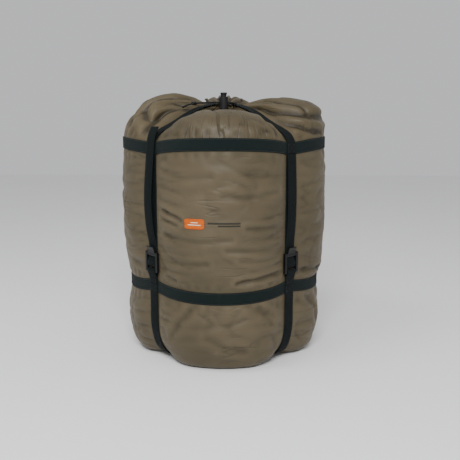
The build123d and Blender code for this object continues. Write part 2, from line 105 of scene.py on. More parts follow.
# ---------------- materials
class Shader:
    """Small helper round one node material."""

    def __init__(self, name):
        self.material = bpy.data.materials.new(name)
        self.material.use_nodes = True
        self.nodes = self.material.node_tree.nodes
        self.links = self.material.node_tree.links
        self.surface = self.nodes["Principled BSDF"]

    def node(self, kind, inputs=None, **settings):
        node = self.nodes.new(kind)
        for key, value in settings.items():
            setattr(node, key, value)
        self.fill(node, inputs or {})
        return node

    def fill(self, node, inputs):
        """Gives a node's inputs their values, or the outputs that feed them."""
        for key, value in inputs.items():
            socket = node.inputs[key]
            if isinstance(value, bpy.types.NodeSocket):
                self.links.new(value, socket)
            else:
                socket.default_value = (*value, 1) if socket.type == "RGBA" else value

    def coordinates(self, kind, scale=(1, 1, 1), turn=0.0):
        source = self.node("ShaderNodeTexCoord")
        mapping = self.node("ShaderNodeMapping", {
            "Vector": source.outputs[kind], "Scale": scale, "Rotation": (0, 0, radians(turn))})
        return mapping.outputs["Vector"]

    def noise(self, where, scale, detail=3.0, roughness=0.55):
        node = self.node("ShaderNodeTexNoise", {
            "Vector": where, "Scale": scale, "Detail": detail, "Roughness": roughness})
        return node.outputs["Fac"]

    def wave(self, where, scale, direction, **inputs):
        """Bands that follow each other in a direction, as for threads and ribs."""
        values = {key.replace("_", " "): value for key, value in inputs.items()}
        values.update({"Vector": where, "Scale": scale})
        return self.node("ShaderNodeTexWave", values, bands_direction=direction).outputs["Fac"]

    def ramp(self, factor, *stops):
        """Colour ramp from stops of (position, colour); a single number is a grey."""
        node = self.node("ShaderNodeValToRGB", {"Fac": factor})
        elements = node.color_ramp.elements
        for number, (position, colour) in enumerate(stops):
            element = elements[number] if number < 2 else elements.new(position)
            element.position = position
            element.color = (*colour, 1) if isinstance(colour, tuple) else (colour, colour, colour, 1)
        return node.outputs["Color"]

    def maths(self, operation, first, second=0.0):
        node = self.node("ShaderNodeMath", {0: first, 1: second}, operation=operation)
        return node.outputs[0]

    def mix(self, factor, first, second, blend="MIX"):
        inputs = {0: factor, 6: first, 7: second}
        return self.node("ShaderNodeMix", inputs, data_type="RGBA", blend_type=blend).outputs[2]

    def finish(self, *bumps, **surface):
        """The material, with bumps stacked from (height, strength, distance in metres) on its surface."""
        normal = {}
        for height, strength, distance in bumps:
            inputs = {"Height": height, "Strength": strength, "Distance": distance, **normal}
            normal = {"Normal": self.node("ShaderNodeBump", inputs).outputs["Normal"]}
        values = {key.replace("_", " "): value for key, value in surface.items()}
        self.fill(self.surface, {**values, **normal})
        return self.material


def nylon(name, light, dark, dusty, stretch, turns, hollow_shade, ridge_shade, crispness, gloss):
    """Coated nylon: fine plain weave, soft sheen, thin meandering creases with painted shade along them, and
    patches of dust.
    The creases are drawn out by stretch, over the flat cloth, and turned by each of turns, in degrees.
    Folds get painted shade at their bottom and a painted highlight along their top."""
    shader = Shader(name)
    flat = shader.coordinates("UV")
    solid = shader.coordinates("Object")
    warp = shader.wave(flat, 260.0, "X", Distortion=0.6, Detail_Scale=2.0)
    weft = shader.wave(flat, 260.0, "Y", Distortion=0.6, Detail_Scale=2.0)
    weave = shader.maths("MULTIPLY", warp, weft)
    slub = shader.noise(shader.coordinates("UV", (60, 4, 1)), 9.0, 4.0)
    tone = shader.noise(solid, 7.0, 5.0)
    colour = shader.ramp(tone, (0.3, dark), (0.7, light))
    threads = shader.ramp(weave, (0.1, 0.82), (0.9, 1.08))
    colour = shader.mix(0.5, colour, threads, "MULTIPLY")
    layers = []
    for number, turn in enumerate(turns):
        field = shader.noise(shader.coordinates("UV", stretch, turn), 1.2 + 0.8 * number, 2.0, 0.45)
        distance = shader.maths("ABSOLUTE", shader.maths("SUBTRACT", field, 0.5))
        closeness = shader.ramp(distance, (0.0, 1), (0.045 - 0.01 * number, 0))
        patches = shader.noise(solid, 11.0 + 6.0 * number, 2.0)
        patches = shader.ramp(patches, (0.47, 0), (0.66, 1))
        fold = shader.maths("MULTIPLY", closeness, patches)
        fold_bump = crispness * (0.0022 - 0.0008 * number)
        layers.append((shader.maths("SUBTRACT", 1.0, fold), 0.6, fold_bump))
        # painted shade: the colour is darkened along each crease
        shaded = shader.ramp(fold, (0.35, 1.0), (1.0, 0.7))
        colour = shader.mix(0.8, colour, shaded, "MULTIPLY")
    depth = shader.node("ShaderNodeAttribute", attribute_name="fold_depth").outputs["Fac"]
    hollow = shader.node("ShaderNodeMapRange", {"Value": depth, "From Min": -1.5, "From Max": 2.5})
    hollow = hollow.outputs["Result"]
    # painted shade in the hollows of the folds and painted highlight on their ridges, from the fold depth
    wear_and_fold_shade = shader.ramp(hollow, (0.05, ridge_shade), (0.375, 1.0), (0.9, hollow_shade))
    colour = shader.mix(1.0, colour, wear_and_fold_shade, "MULTIPLY")
    dust = shader.ramp(shader.noise(solid, 38.0, 6.0, 0.7), (0.62, 0), (0.8, 0.2))
    colour = shader.mix(dust, colour, dusty)
    rough = shader.ramp(shader.noise(solid, 24.0, 4.0), (0.3, 0.46), (0.75, 0.62))
    crumple = shader.noise(solid, 46.0, 4.0, 0.5)
    layers += [(crumple, 0.35, crispness * 0.0015), (slub, 0.1, 0.0003), (weave, 0.22, 0.00012)]
    return shader.finish(*layers, Base_Color=colour, Roughness=rough, Sheen_Weight=0.06,
                         Sheen_Roughness=0.45, Sheen_Tint=(0.9, 0.82, 0.62), Specular_IOR_Level=gloss)


def webbing_tape(name, base, highlight):
    """Woven tape: cross ribs, a herringbone down the middle and paler, fuzzy worn edges."""
    shader = Shader(name)
    flat = shader.coordinates("UV")
    ribs = shader.wave(flat, 95.0, "X", Distortion=0.3)
    twill = shader.wave(flat, 85.0, "DIAGONAL", Distortion=0.4)
    weave = shader.maths("MULTIPLY", ribs, twill)
    across = shader.node("ShaderNodeSeparateXYZ", {0: flat}).outputs["Y"]
    centre = shader.maths("ABSOLUTE", shader.maths("SUBTRACT", across, 0.1))
    edge = shader.ramp(shader.maths("MULTIPLY", centre, 10.0), (0.78, 0), (0.97, 1))
    fuzz = shader.noise(shader.coordinates("UV", (30, 80, 1)), 6.0, 5.0, 0.7)
    worn = shader.maths("MULTIPLY", edge, shader.ramp(fuzz, (0.42, 0), (0.72, 0.55)))
    colour = shader.ramp(weave, (0.15, base), (0.85, highlight))
    dust = shader.noise(shader.coordinates("Object"), 30.0, 5.0)
    dusty = shader.ramp(dust, (0.5, 0), (0.85, 0.2))
    colour = shader.mix(dusty, colour, (0.014, 0.02, 0.02))
    colour = shader.mix(worn, colour, (0.02, 0.028, 0.027))
    rough = shader.ramp(fuzz, (0.2, 0.62), (0.8, 0.82))
    return shader.finish((ribs, 0.5, 0.0004), (twill, 0.35, 0.00025), (fuzz, 0.25, 0.0002),
                         Base_Color=colour, Roughness=rough, Sheen_Weight=0.02, Sheen_Roughness=0.5,
                         Specular_IOR_Level=0.08)


def moulded(name, base, worn, rough_low, rough_high, scale, metal=0.0):
    """Moulded plastic or drawn metal: faint orange-peel, worn patches and fine scratches."""
    shader = Shader(name)
    solid = shader.coordinates("Object")
    patches = shader.noise(solid, scale, 5.0)
    scratch = shader.noise(shader.coordinates("Object", (1, 1, 14)), 130.0, 6.0, 0.7)
    wear_and_fold_shade = shader.ramp(scratch, (0.62, 0), (0.75, 0.5))
    colour = shader.mix(wear_and_fold_shade, shader.ramp(patches, (0.3, base), (0.8, worn)), worn)
    rough = shader.ramp(patches, (0.3, rough_low), (0.75, rough_high))
    grain = shader.noise(solid, 900.0, 2.0)
    return shader.finish((scratch, 0.12, 0.0002), (grain, 0.1, 0.0001), Base_Color=colour,
                         Roughness=rough, Specular_IOR_Level=0.2, Metallic=metal)


def braided(name, base, fleck):
    """Braided cord: two crossing spirals of yarn with pale flecks."""
    shader = Shader(name)
    solid = shader.coordinates("Object")
    one = shader.wave(solid, 420.0, "DIAGONAL", Distortion=1.2)
    two = shader.wave(shader.coordinates("Object", (-1, 1, 1)), 420.0, "DIAGONAL", Distortion=1.2)
    braid = shader.maths("MAXIMUM", one, two)
    flecks = shader.ramp(shader.noise(solid, 600.0, 2.0), (0.6, 0), (0.68, 0.5))
    colour = shader.ramp(braid, (0.3, 0.008), (0.9, base))
    rough = shader.ramp(braid, (0.2, 0.8), (0.9, 0.6))
    return shader.finish((braid, 0.7, 0.0004), Base_Color=shader.mix(flecks, colour, fleck),
                         Roughness=rough, Sheen_Weight=0.03, Specular_IOR_Level=0.15)


def twisted_thread(name, base):
    """Sewing thread: a tight twist with a slight gloss."""
    shader = Shader(name)
    twist = shader.wave(shader.coordinates("Object"), 900.0, "DIAGONAL")
    colour = shader.ramp(twist, (0.2, tuple(0.5 * c for c in base)), (0.8, base))
    return shader.finish((twist, 0.5, 0.0002), Base_Color=colour, Roughness=0.5)


def woven_label(name, base, dark):
    """Satin-woven label with fine cross threads and slight fading."""
    shader = Shader(name)
    flat = shader.coordinates("UV")
    threads = shader.wave(flat, 190.0, "Y")
    warp = shader.wave(flat, 150.0, "X")
    fade = shader.noise(shader.coordinates("Object"), 60.0, 4.0)
    colour = shader.mix(threads, dark, base)
    faded = shader.ramp(fade, (0.4, 0), (0.8, 0.3))
    colour = shader.mix(faded, colour, tuple(0.55 * c for c in base))
    rough = shader.ramp(fade, (0.3, 0.5), (0.7, 0.65))
    return shader.finish((threads, 0.3, 0.0002), (warp, 0.2, 0.00015), Base_Color=colour,
                         Roughness=rough, Sheen_Weight=0.05, Specular_IOR_Level=0.15)


NYLON = nylon("olive_nylon", (0.09, 0.071, 0.042), (0.062, 0.049, 0.028), (0.2, 0.17, 0.12),
              (0.5, 1.9, 1), (8, -14), 0.7, 1.1, 1.0, 0.2)
# a darker copy of the olive nylon for the crown: its darker base colours are painted shade on the top of the
# sack, with stronger painted fold shade and highlight
GATHERED = nylon("gathered_nylon", (0.078, 0.06, 0.0315), (0.048, 0.037, 0.0195), (0.2, 0.17, 0.12),
                 (2.2, 0.5, 1), (6, -9, 31), 0.4, 1.18, 1.8, 0.26)
# a darker copy of the olive nylon for the hem and frill at the mouth: its darker colours are painted shade
# in the deep gathers there
SHADED_MOUTH_NYLON = nylon("hem_nylon", (0.05, 0.041, 0.026), (0.026, 0.022, 0.015), (0.17, 0.15, 0.11),
               (2.0, 1.5, 1), (20,), 0.6, 1.1, 1.2, 0.2)
TAPE = webbing_tape("black_webbing", (0.0018, 0.0036, 0.0037), (0.005, 0.009, 0.0094))
BAND_TAPE = webbing_tape("black_band", (0.0045, 0.0085, 0.0085), (0.0105, 0.017, 0.017))
THREAD = twisted_thread("dark_thread", (0.02, 0.022, 0.022))
GLOSSY = moulded("lock_acetal", (0.003, 0.003, 0.0035), (0.008, 0.008, 0.008), 0.3, 0.45, 30.0)
MATTE = moulded("toggle_nylon", (0.005, 0.005, 0.0055), (0.014, 0.014, 0.014), 0.4, 0.6, 50.0)
STEEL = moulded("drawn_steel", (0.55, 0.55, 0.55), (0.4, 0.38, 0.35), 0.25, 0.4, 90.0, metal=1.0)
CORD = braided("braided_cord", (0.012, 0.013, 0.013), (0.05, 0.052, 0.05))
LABEL = woven_label("orange_label", (0.56, 0.11, 0.003), (0.38, 0.06, 0.002))
LABEL_MARK = woven_label("label_mark", (0.8, 0.72, 0.55), (0.5, 0.42, 0.3))
PRINT = woven_label("dark_print", (0.03, 0.028, 0.02), (0.018, 0.017, 0.012))


# ---------------- mesh helpers
def make_object(name, vertices, faces, material, uvs=None, smooth=True):
    """Mesh object from points in metres. uvs holds one pair per vertex."""
    mesh = bpy.data.meshes.new(name)
    mesh.from_pydata([tuple(v) for v in vertices], [], faces)
    if uvs is not None:
        layer = mesh.uv_layers.new(name="flat")
        flat = [c for loop in mesh.loops for c in uvs[loop.vertex_index]]
        layer.data.foreach_set("uv", flat)
    mesh.materials.append(material)
    if smooth:
        mesh.polygons.foreach_set("use_smooth", [True] * len(mesh.polygons))
    mesh.update()
    piece = bpy.data.objects.new(name, mesh)
    bpy.context.collection.objects.link(piece)
    return piece


def attach(piece, body, slot, *nodes):
    """The piece moves with a CAD body and stands for the CAD nodes, which it hides; slot is not used."""
    if body:
        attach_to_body(piece, body)
    if nodes:
        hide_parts(*nodes)
    return piece


def shorten(piece):
    """Gives the piece its own copy of its mesh."""
    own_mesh(piece)


def grid_faces(rows, columns, closed, looped=False):
    """Quads of a grid stored row by row; closed joins its last column to the first, looped its rows."""
    faces = []
    for row in range(rows if looped else rows - 1):
        for column in range(columns if closed else columns - 1):
            following = (column + 1) % columns
            start = row * columns
            above = (row + 1) % rows * columns
            faces.append((start + column, start + following, above + following, above + column))
    return faces


def tape(name, centre, across, facing, material, closed=False):
    """Flat webbing with softly rounded edges along a line in metres; the directions are unit vectors."""
    half = WEBBING_WIDTH / 2 * MM
    deep = WEBBING_THICKNESS / 2 * MM
    section = [(-1, 0.45), (-0.97, 0.9), (-0.5, 1), (0, 1), (0.5, 1), (0.97, 0.9), (1, 0.45),
               (1, -0.45), (0.97, -0.9), (0.5, -1), (0, -1), (-0.5, -1), (-0.97, -0.9), (-1, -0.45)]
    vertices = []
    uvs = []
    travelled = 0.0
    for number, point in enumerate(centre):
        if number:
            travelled += (point - centre[number - 1]).length
        for side, face in section:
            vertices.append(point + across[number] * (side * half) + facing[number] * (face * deep))
            uvs.append((travelled / MM / 100, 0.1 + side * 0.1))
    columns = len(section)
    faces = grid_faces(len(centre), columns, True, closed)
    if not closed:
        faces.append(tuple(reversed(range(columns))))
        last = (len(centre) - 1) * columns
        faces.append(tuple(last + column for column in range(columns)))
    return make_object(name, vertices, faces, material, uvs)


def stitches(name, body, lines, length, gap, *nodes, radius=0.28):
    """Rows of real stitches, sizes in mm. Each line is a list of (point, outward normal) in metres."""
    vertices = []
    faces = []
    ring = 6
    for line in lines:
        points = [p for p, n in line]
        steps = [(points[k + 1] - points[k]).length for k in range(len(points) - 1)]
        total = sum(steps)
        pitch = (length + gap) * MM
        count = max(1, int(total / pitch))
        for stitch in range(count):
            ends = []
            for share in (0.0, 0.5, 1.0):
                at = (stitch + 0.5) * total / count + (share - 0.5) * length * MM
                at = min(max(at, 0), total * 0.9999)
                index = 0
                while at > steps[index]:
                    at -= steps[index]
                    index += 1
                mix = at / steps[index] if steps[index] else 0
                point = points[index].lerp(points[index + 1], mix)
                normal = line[index][1].lerp(line[index + 1][1], mix).normalized()
                ends.append((point, normal))
            direction = (ends[2][0] - ends[0][0]).normalized()
            base = len(vertices)
            for (point, normal), lift, thick in zip(ends, (-0.1, 0.22, -0.1), (0.5, 1.0, 0.5)):
                side = direction.cross(normal).normalized()
                vertices += circle(point + normal * (lift * MM), side, normal, radius * thick * MM, ring)
            faces += [tuple(base + k for k in face) for face in grid_faces(3, ring, True)]
            faces.append(tuple(base + k for k in reversed(range(ring))))
            faces.append(tuple(base + 2 * ring + k for k in range(ring)))
    return attach(make_object(name, vertices, faces, THREAD), body, "thread", *nodes)


def radial(azimuth):
    """Unit vector away from the middle of the sack."""
    angle = radians(azimuth)
    return Vector((cos(angle), sin(angle), 0))


def tangential(azimuth):
    """Unit vector round the sack, a quarter turn on from radial."""
    return radial(azimuth + 90)


def polar(r, angle, z):
    """Point in metres from a radius, an angle and a height in mm."""
    return Vector((r * cos(angle), r * sin(angle), z)) * MM


def circle(centre, side, upward, radius, count):
    """Points of a circle in the plane of two unit vectors."""
    turns = [2 * pi * k / count for k in range(count)]
    return [centre + (side * cos(turn) + upward * sin(turn)) * radius for turn in turns]


def clamp(value):
    """The value kept between 0 and 1."""
    return min(max(value, 0), 1)


def distances(line):
    """How far along a line each of its points is."""
    return np.concatenate([[0], np.cumsum(np.linalg.norm(np.diff(line, axis=0), axis=1))])


def spaced(line, count):
    """The given number of evenly spaced points along a line."""
    along = distances(line)
    samples = np.linspace(0, along[-1], count)
    return np.column_stack([np.interp(samples, along, line[:, 0]), np.interp(samples, along, line[:, 1])])


def smooth_line(points, step):
    """Evenly spaced points along a rounded line through the given (x, y) corners."""
    dense = []
    count = len(points)
    for k in range(count - 1):
        p0, p1, p2, p3 = (np.array(points[min(max(k + step, 0), count - 1)], float) for step in range(-1, 3))
        a, b, c = (np.linalg.norm(step) ** 0.5 or 1e-6 for step in (p1 - p0, p2 - p1, p3 - p2))
        m1 = (p2 - p1) + b * ((p1 - p0) / a - (p2 - p0) / (a + b)) if k else (p2 - p1)
        m2 = (p2 - p1) + b * ((p3 - p2) / c - (p3 - p1) / (b + c)) if k < count - 2 else (p2 - p1)
        for t in np.linspace(0, 1, 24, endpoint=False):
            h = (2 * t**3 - 3 * t**2 + 1, t**3 - 2 * t**2 + t, -2 * t**3 + 3 * t**2, t**3 - t**2)
            dense.append(h[0] * p1 + h[1] * m1 + h[2] * p2 + h[3] * m2)
    dense.append(np.array(points[-1], float))
    count = int(round(distances(dense)[-1] / step)) + 1
    return spaced(np.array(dense), max(2, count))


def strap_tape(name, azimuth, line, lean=None):
    """Webbing in a strap plane. line holds (radius, height) of its middle; lean moves it sideways."""
    outward = radial(azimuth)
    side = tangential(azimuth)
    centre = []
    facing = []
    across = []
    tangents = np.gradient(line, axis=0)
    for number, ((r, z), (dr, dz)) in enumerate(zip(line, tangents)):
        length = hypot(dr, dz)
        normal = (outward * dz - UP * dr) / length
        sideways = lean(number / (len(line) - 1)) if lean else 0.0
        centre.append((outward * r + UP * z + side * sideways) * MM)
        facing.append(normal.normalized())
        across.append(side)
    return tape(name, centre, across, facing, TAPE)


# ---------------- drawcord, with its points from the CAD route
LOCK = (2.0, -56.0, 443.0)   # middle of the cord lock
HEM_RADIUS = 22.5
CORD_Z = 433.5               # height of the cord in the hem
SPACING = 4.0                # distance between the two cords in the lock


def cord_curve(name, points, node):
    """Cord along a smooth spline with the given points in mm; it rides on the crown."""
    curve = bpy.data.curves.new(name, "CURVE")
    curve.dimensions = "3D"
    curve.bevel_depth = CORD_RADIUS * MM
    curve.bevel_resolution = 4
    curve.resolution_u = 16
    curve.use_fill_caps = True
    spline = curve.splines.new("NURBS")
    spline.points.add(len(points) - 1)
    for point, (x, y, z) in zip(spline.points, points):
        point.co = (x * MM, y * MM, z * MM, 1)
    spline.order_u = 3
    spline.use_endpoint_u = True
    curve.materials.append(CORD)
    piece = bpy.data.objects.new(name, curve)
    bpy.context.collection.objects.link(piece)
    return attach(piece, "crown", "cord", node)


far_y = LOCK[1] - SPACING / 2
near_y = LOCK[1] + SPACING / 2
leg_z = LOCK[2] - 6
loop_points = [
    (LOCK[0], far_y, LOCK[2]),
    (HEM_RADIUS, far_y, LOCK[2]),
    (HEM_RADIUS, far_y + 19, leg_z),
    (HEM_RADIUS, -14, CORD_Z),
    (HEM_RADIUS, HEM_RADIUS, CORD_Z),
    (-HEM_RADIUS, HEM_RADIUS, CORD_Z),
    (-HEM_RADIUS, -HEM_RADIUS, CORD_Z),
    (HEM_RADIUS - SPACING, -HEM_RADIUS, CORD_Z),
    (HEM_RADIUS - SPACING, near_y + 16, leg_z),
    (HEM_RADIUS - SPACING, near_y, LOCK[2]),
    (LOCK[0], near_y, LOCK[2]),
]
cord_curve("drawcord", loop_points, "drawcord_loop")


def knot_piece():
    """An overhand knot: a trefoil of cord pulled tight round the two free ends."""
    centre = Vector((LOCK[0] - 51, LOCK[1], LOCK[2] - 1.6))
    turns = 96
    path = []
    for k in range(turns):
        t = 2 * pi * k / turns
        x = (sin(t) + 2 * sin(2 * t)) * 1.25
        y = (cos(t) - 2 * cos(2 * t)) * 1.45
        z = -sin(3 * t) * 1.7
        path.append(centre + Vector((x, y, z)))
    vertices = []
    ring = 10
    for k in range(turns):
        tangent = (path[(k + 1) % turns] - path[k - 1]).normalized()
        side = tangent.cross(UP).normalized()
        upward = side.cross(tangent)
        vertices += [point * MM for point in circle(path[k], side, upward, CORD_RADIUS * 1.15, ring)]
    knot = make_object("cord_knot_tied", vertices, grid_faces(turns, ring, True, True), CORD)
    return attach(knot, "crown", "cord", "cord_knot")


knot = knot_piece()
for side, start_y, splay in (("near", near_y, 4.0), ("far", far_y, -4.0)):
    end = cord_curve(f"cord_end_{side}", [
        (LOCK[0], start_y, LOCK[2]),
        (LOCK[0] - 40, start_y, LOCK[2]),
        (LOCK[0] - 62, start_y, LOCK[2] - 3.5),
        (LOCK[0] - 71, start_y + splay, LOCK[2] - 8.5),
    ], f"drawcord_tail_{side}")


# ---------------- shape of the filled cloth
# lines of (radius, height) in mm: the curves run over the middle of a lobe, the lands under the straps
BASE_CURVE = [(0, 6.2), (14, 6.0), (34, 0.8), (60, 0.3), (142, 0.3)]
HIP_CURVE = [(142, 0.3), (153, 3), (163, 12), (171, 32), (176, 62), (175.5, 92), (171, 117)]
BELLY_CURVE = [(171, 137), (176, 152), (181, 185), (184.5, 240), (185, 290), (183, 330), (180, 365)]
CROWN_CURVES = {
    -90: [(180, 385), (175, 402), (163, 416), (149, 423.5), (131, 428.5), (112, 430), (92, 428.5),
          (75, 426.5), (50, 427), (36, 430), (27, 435)],
    0: [(180, 385), (178, 408), (171, 430), (158, 443), (135, 450), (100, 454), (65, 451),
        (42, 445), (27, 438)],
    90: [(180, 385), (174, 412), (160, 438), (138, 454), (112, 461), (85, 463), (58, 459),
         (40, 449), (27, 439)],
    180: [(180, 385), (173, 405), (158, 426), (137, 448), (108, 460), (77, 462.5), (50, 456),
          (37, 447), (27, 439)],
}
LAND_BASE = [(0, 6.2), (60, 6.2), (110, 6.2)]
LAND_CORNER = [(110, 6.2), (128, 9), (143, 19), (153, 34), (158.5, 50), (160, 66), (160, 125)]
LAND_CROWN = [(159, 377), (149, 389), (134, 397), (118, 403.5), (101, 412), (81, 422.5), (58, 431.5),
              (40, 436), (27, 437.5)]
COLUMNS = 288                # points of the cloth in a row round the sack
GIRTH = 1120.0               # round the cloth, for the size of its weave
SLACK = 9.0                  # furthest that the simulation may move the cloth
FLOOR_GAP = 0.25             # least height of the cloth over the floor
EXTRA_CLOTH = (1.03, 1.03, 1.06)      # how much larger the cloth is cut than what it covers, in x, y, z
SIMULATED_FRAMES = 16
# each segment: name, rows, lobe curve, land curve, width over which the lobe rises from the strap
SEGMENTS = (
    ("base", 12, BASE_CURVE, LAND_BASE, 40.0, 60.0),
    ("hip", 32, HIP_CURVE, LAND_CORNER, 60.0, 112.0),
    ("low_band", 6, [(171, 117), (171, 137)], [(160, 125), (160, 145)], 112.0, 112.0),
    ("belly", 62, BELLY_CURVE, [(160, 145), (160, 357)], 112.0, 116.0),
    ("high_band", 6, [(180, 365), (180, 385)], [(160, 357), (159, 377)], 116.0, 116.0),
    ("crown", 48, None, LAND_CROWN, 116.0, 24.0),
)


def resample(points, count):
    """Evenly spaced points along a line through two corners, or a rounded one through more."""
    return spaced(smooth_line(points, 1.0) if len(points) > 2 else np.array(points, float), count)


def segment_rows():
    """Row numbers at which each segment starts and ends."""
    places = {}
    row = 0
    for name, rows, *_ in SEGMENTS:
        places[name] = (row, row + rows)
        row += rows
    return places, row + 1


ROWS, ROW_COUNT = segment_rows()


def lobe_height(distance, width):
    """How far the cloth has risen out of the strap's valley, 0 to 1, at a distance from the strap plane."""
    t = clamp((distance - 9.5) / width)
    return 1 - (1 - t) ** 2.1


def valley(point, scale, width):
    """Narrow meandering creases: 1 along the bottom of a crease, 0 away from it."""
    return max(0.0, 1 - abs(noise.noise(Vector(point) * scale)) / width) ** 1.5


def swell(*place):
    """Smooth unevenness, about -1 to 1."""
    return noise.noise(Vector(place))


def wrinkle(azimuth, r, z, share):
    """Outward displacement of the loose cloth, in mm; share is 0 on a strap and 1 in the open."""
    angle = radians(azimuth)
    x, y = cos(angle) * r, sin(angle) * r
    wide = swell(x * 0.014, y * 0.014, z * 0.024 + 3)
    fine = swell(x * 0.03, y * 0.03, z * 0.07 + 8)
    patchy = clamp(0.38 + 1.7 * swell(x * 0.011, y * 0.011, z * 0.016 + 20))
    level = valley((x * 0.32, y * 0.32, z + 0.22 * x + 60), 0.034, 0.15)
    slanted = valley((x * 0.6 + 0.4 * z, y * 0.6, z * 0.7 - 0.35 * x), 0.024, 0.13)
    pinched = valley((x * 0.15 + 9, y * 0.15, z), 0.062, 0.3) * min(4 * (1 - share) * share, 1)
    creased = patchy * (2.6 * level + 1.7 * slanted)
    return (wide * 2.8 + fine * 1.2 - creased - 2.8 * pinched) * min(share * 3, 1)


def gathers(azimuth, r, share):
    """Pleats that run from the drawn-up mouth down over the crown, fewer and wider further out."""
    angle = radians(azimuth)
    drift = swell(cos(angle) * 2.2, sin(angle) * 2.2, r * 0.012)
    swirl = swell(cos(angle) * 1.3 + 7, sin(angle) * 1.3, r * 0.01)
    close = 1 - abs(sin(17 * angle + 2.4 * drift + 2.0 * sin(3 * angle)))
    middle = 1 - abs(sin(11 * angle + 3.0 * swirl + 1.7 * sin(2 * angle + 2)))
    broad = 1 - abs(sin(7 * angle + 3.0 * drift + 1.4 * sin(2 * angle + 1)))
    near = clamp((96 - r) / 50)
    between = clamp((140 - r) / 50) * clamp((r - 45) / 25)
    far = clamp((176 - r) / 45) * clamp((r - 60) / 40)
    front = abs((azimuth + 270) % 360 - 180) / 45
    strength = 1.35 if front > 1 else 0.45 + 0.4 * front ** 2
    mouth = clamp((r - 24) / 10)
    deep = 6.5 * near * close ** 1.6 * mouth + 7.0 * between * middle ** 3 + 9.0 * far * broad ** 3.5
    return -strength * deep * min(share * 2.2 + 0.12 * near, 1)


def build_skin():
    """Grid of points in mm, row by row, and how open the cloth is at each, 0 on a strap to 1."""
    points = np.zeros((ROW_COUNT, COLUMNS, 3))
    shares = np.zeros((ROW_COUNT, COLUMNS))
    for name, rows, lobe_curve, land_curve, first_width, last_width in SEGMENTS:
        start = ROWS[name][0]
        land = resample(land_curve, rows + 1)
        lobes = {}
        for centre, crown_curve in CROWN_CURVES.items():
            lobes[centre] = resample(lobe_curve or crown_curve, rows + 1)
        for column in range(COLUMNS):
            azimuth = 360 * column / COLUMNS - 90
            centre = round(azimuth / 90) * 90
            lobe = lobes[-90 if centre == 270 else centre]
            from_strap = radians(45 - abs(azimuth - centre))
            angle = radians(azimuth)
            for k in range(rows + 1):
                width = first_width + (last_width - first_width) * k / rows
                share = lobe_height(lobe[k][0] * sin(from_strap), width)
                r, z = land[k] + (lobe[k] - land[k]) * share
                points[start + k, column] = (r * cos(angle), r * sin(angle), z)
                shares[start + k, column] = share
    return points, shares


def grid_normals(points):
    """Outward unit normal at each grid point."""
    around = np.roll(points, -1, axis=1) - np.roll(points, 1, axis=1)
    upward = np.gradient(points, axis=0)
    normals = np.cross(around, upward)
    lengths = np.linalg.norm(normals, axis=2, keepdims=True)
    normals = normals / np.maximum(lengths, 1e-9)
    normals[0] = (0, 0, -1)
    return normals


def crease(points, normals, line, depth, width):
    """Presses a fold into the cloth along a line of (azimuth, height), with a soft ridge on each side."""
    angle = np.degrees(np.arctan2(points[..., 1], points[..., 0]))
    away = np.full(angle.shape, 1e6)
    for (a0, z0), (a1, z1) in zip(line, line[1:]):
        x = ((angle - a0 + 180) % 360 - 180) * 3.2
        y = points[..., 2] - z0
        dx, dy = (a1 - a0) * 3.2, z1 - z0
        t = np.clip((x * dx + y * dy) / (dx * dx + dy * dy), 0, 1)
        away = np.minimum(away, np.hypot(x - t * dx, y - t * dy) + np.abs(t - 0.5) * width * 0.6)
    dip = -depth * np.exp(-(away / width) ** 2)
    ridge = 0.55 * depth * np.exp(-((away - 2.2 * width) / (1.2 * width)) ** 2)
    return points + normals * (dip + ridge)[..., None]


# folds that stand out: line of (azimuth, height), depth and half-width
CREASES = (
    ([(-124, 268), (-117, 262), (-110, 255)], 4.2, 3.2),
    ([(-125, 256), (-118, 250), (-112, 246)], 3.6, 2.8),
    ([(-81, 153), (-72, 157), (-60, 161), (-52, 162)], 5.0, 3.4),
    ([(-38, 160), (-25, 156), (-8, 152)], 4.5, 3.6),
    ([(-122, 158), (-115, 153)], 4.0, 3.2),
    ([(-76, 118), (-66, 100), (-60, 82)], 2.6, 6.0),
    ([(-68, 112), (-58, 92)], 2.4, 5.0),
    ([(-104, 112), (-112, 88), (-118, 60)], 2.4, 6.0),
    ([(-97, 60), (-84, 42), (-76, 38)], 2.0, 6.0),
    ([(-30, 112), (-20, 88), (-16, 60)], 3.0, 6.0),
    ([(-122, 228), (-100, 222), (-84, 226)], 1.8, 4.5),
    ([(-57, 300), (-74, 292), (-88, 296)], 1.8, 4.5),
    ([(-56, 212), (-70, 206), (-86, 208)], 2.0, 4.0),
    ([(-55, 246), (-66, 241), (-76, 243)], 2.2, 4.0),
    ([(-56, 192), (-68, 188), (-79, 190)], 1.8, 4.0),
    ([(-123, 330), (-108, 322), (-94, 325)], 1.6, 5.0),
    ([(-124, 190), (-108, 184), (-96, 186)], 1.8, 4.5),
    ([(-60, 412), (-56, 398), (-57, 388)], 4.0, 5.0),
    ([(-36, 425), (-24, 419), (-10, 417), (2, 420)], 5.5, 6.0),
    ([(-38, 405), (-30, 396), (-18, 392)], 4.5, 5.0),
    ([(200, 430), (212, 412), (216, 396)], 5.5, 6.0),
    ([(176, 440), (190, 425), (198, 405)], 4.5, 6.0),
)


